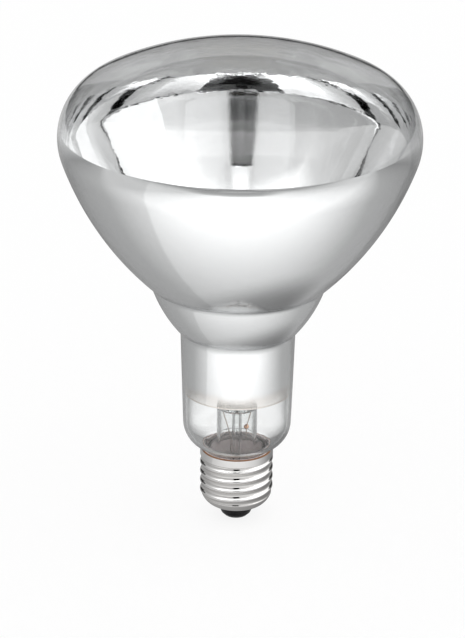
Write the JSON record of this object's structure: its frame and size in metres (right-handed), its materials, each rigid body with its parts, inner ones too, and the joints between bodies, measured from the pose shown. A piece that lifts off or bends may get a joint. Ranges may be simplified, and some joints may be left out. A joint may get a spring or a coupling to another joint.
{
  "type": "reflector heat lamp bulb",
  "caption": "Reflector heat lamp bulb: a blown glass bowl with a clear dome and mirrored wall, a wire filament on a glass stem, and a screw cap.",
  "frame": {"origin": "centre of the contact face at the foot of the screw cap, on the lamp's axis", "axes": "+Z along the lamp's axis from the cap up to the dome; -Y is the side that the picture shows"},
  "size_m": [0.125, 0.125, 0.1752],
  "materials": {
    "clear_glass": "clear blown soft glass, smooth",
    "mirror_film": "vapour-deposited aluminium on the inner glass face",
    "nickel_plate": "bright nickel plate on rolled brass sheet",
    "black_glass": "black glass, glossy",
    "contact_brass": "plain stamped brass",
    "solder": "dull tin solder",
    "cement": "brown basing cement, matte",
    "nickel_wire": "drawn nickel wire",
    "seal_wire": "copper-clad sealing wire, reddish",
    "copper_wire": "drawn copper wire",
    "tungsten": "fine tungsten coil, dark grey",
    "molybdenum_wire": "drawn molybdenum wire",
    "mica": "split mica sheet, pale and slightly pearly"
  },
  "bodies": {
    "root": {"glass_envelope": "clear_glass", "stem_glass": "clear_glass", "exhaust_tube": "clear_glass", "support_rod": "clear_glass", "mirror_coating": "mirror_film", "cap_shell": "nickel_plate", "cap_insulator": "black_glass", "contact_plate": "contact_brass", "contact_solder": "solder", "rim_solder": "solder", "cap_cement": "cement", "inner_lead_left": "nickel_wire", "inner_lead_right": "nickel_wire", "seal_wire_left": "seal_wire", "seal_wire_right": "seal_wire", "contact_lead": "copper_wire", "shell_lead": "copper_wire", "filament_coil": "tungsten", "filament_support_1": "molybdenum_wire", "filament_support_2": "molybdenum_wire", "filament_support_3": "molybdenum_wire", "filament_support_4": "molybdenum_wire", "heat_shield": "mica"}
  },
  "joints": []
}
